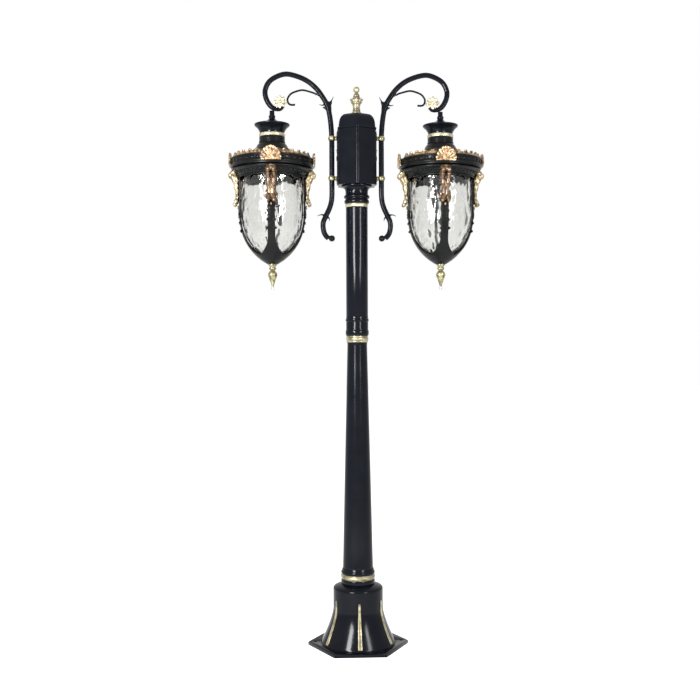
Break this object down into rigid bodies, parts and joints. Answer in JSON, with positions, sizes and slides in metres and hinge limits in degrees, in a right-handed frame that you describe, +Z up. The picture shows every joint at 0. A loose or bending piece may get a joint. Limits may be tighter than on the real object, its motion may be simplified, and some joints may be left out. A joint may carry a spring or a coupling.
{
  "type": "street lamp post",
  "caption": "Garden lamp post with a hexagonal foot and head, scroll arms, and hanging lanterns with bell-shaped glass jars in ribbed cages.",
  "frame": {"origin": "centre of the foot plate's underside, on the ground", "axes": "+Z up along the post, X along the arms, front faces -Y"},
  "size_m": [1.042, 0.356, 2.334],
  "materials": {
    "black_paint": "gloss black paint on cast aluminium",
    "gold_paint": "bronze gold paint, satin metallic",
    "pale_gold_paint": "pale gold paint, satin metallic",
    "steel": "zinc plated",
    "hammered_glass": "clear hammered glass",
    "bulb_glass": "opal glass",
    "rubber": "moulded black rubber",
    "plastic": "moulded plastic",
    "ceramic": "glazed porcelain"
  },
  "bodies": {
    "post": {"foot_plate": "black_paint", "plate_screws": "steel", "base_skirt": "black_paint", "skirt_strips": "gold_paint", "base_neck": "black_paint", "base_ring": "gold_paint", "base_collar": "black_paint", "lower_column": "black_paint", "middle_ring": "gold_paint", "coupling": "black_paint", "upper_column": "black_paint", "capital_ring": "pale_gold_paint", "capital": "black_paint", "head_box": "black_paint", "tie_tube": "steel", "tie_nuts": "steel", "terminal_block": "plastic", "bracket_screws": "steel", "grommets": "rubber", "bracket_left": "black_paint", "bracket_right": "black_paint", "clamps_left": "gold_paint", "clamps_right": "gold_paint", "arm_left": "black_paint", "arm_right": "black_paint", "slim_scroll_left": "black_paint", "slim_scroll_right": "black_paint", "rosette_left": "pale_gold_paint", "rosette_right": "pale_gold_paint", "stem_left": "black_paint", "stem_right": "black_paint", "nipple_left": "steel", "nipple_right": "steel", "cap_left": "black_paint", "cap_right": "black_paint", "neck_ring_left": "gold_paint", "neck_ring_right": "gold_paint", "hood_left": "black_paint", "hood_right": "black_paint", "shells_left": "gold_paint", "shells_right": "gold_paint", "roof_leaves_left": "gold_paint", "roof_leaves_right": "gold_paint", "seal_left": "rubber", "seal_right": "rubber", "holder_left": "ceramic", "holder_right": "ceramic", "guide_pins": "steel"},
    "lid": {"head_lid": "black_paint", "top_finial": "gold_paint"},
    "lantern_left": {"cage_left": "black_paint", "jar_left": "hammered_glass", "ornaments_left": "gold_paint", "drop_left": "gold_paint"},
    "lamp_left": {"bulb_left": "bulb_glass"},
    "lantern_right": {"cage_right": "black_paint", "jar_right": "hammered_glass", "ornaments_right": "gold_paint", "drop_right": "gold_paint"},
    "lamp_right": {"bulb_right": "bulb_glass"}
  },
  "joints": [
    {"name": "lid_lift", "type": "slide", "parent": "post", "child": "lid", "axis": [0, 0, 1], "range_m": [0, 0.12]},
    {"name": "jar_drop_left", "type": "slide", "parent": "post", "child": "lantern_left", "axis": [0, 0, -1], "range_m": [0, 0.12]},
    {"name": "bulb_out_left", "type": "slide", "parent": "post", "child": "lamp_left", "axis": [0, 0, -1], "range_m": [0, 0.03]},
    {"name": "jar_drop_right", "type": "slide", "parent": "post", "child": "lantern_right", "axis": [0, 0, -1], "range_m": [0, 0.12]},
    {"name": "bulb_out_right", "type": "slide", "parent": "post", "child": "lamp_right", "axis": [0, 0, -1], "range_m": [0, 0.03]}
  ]
}
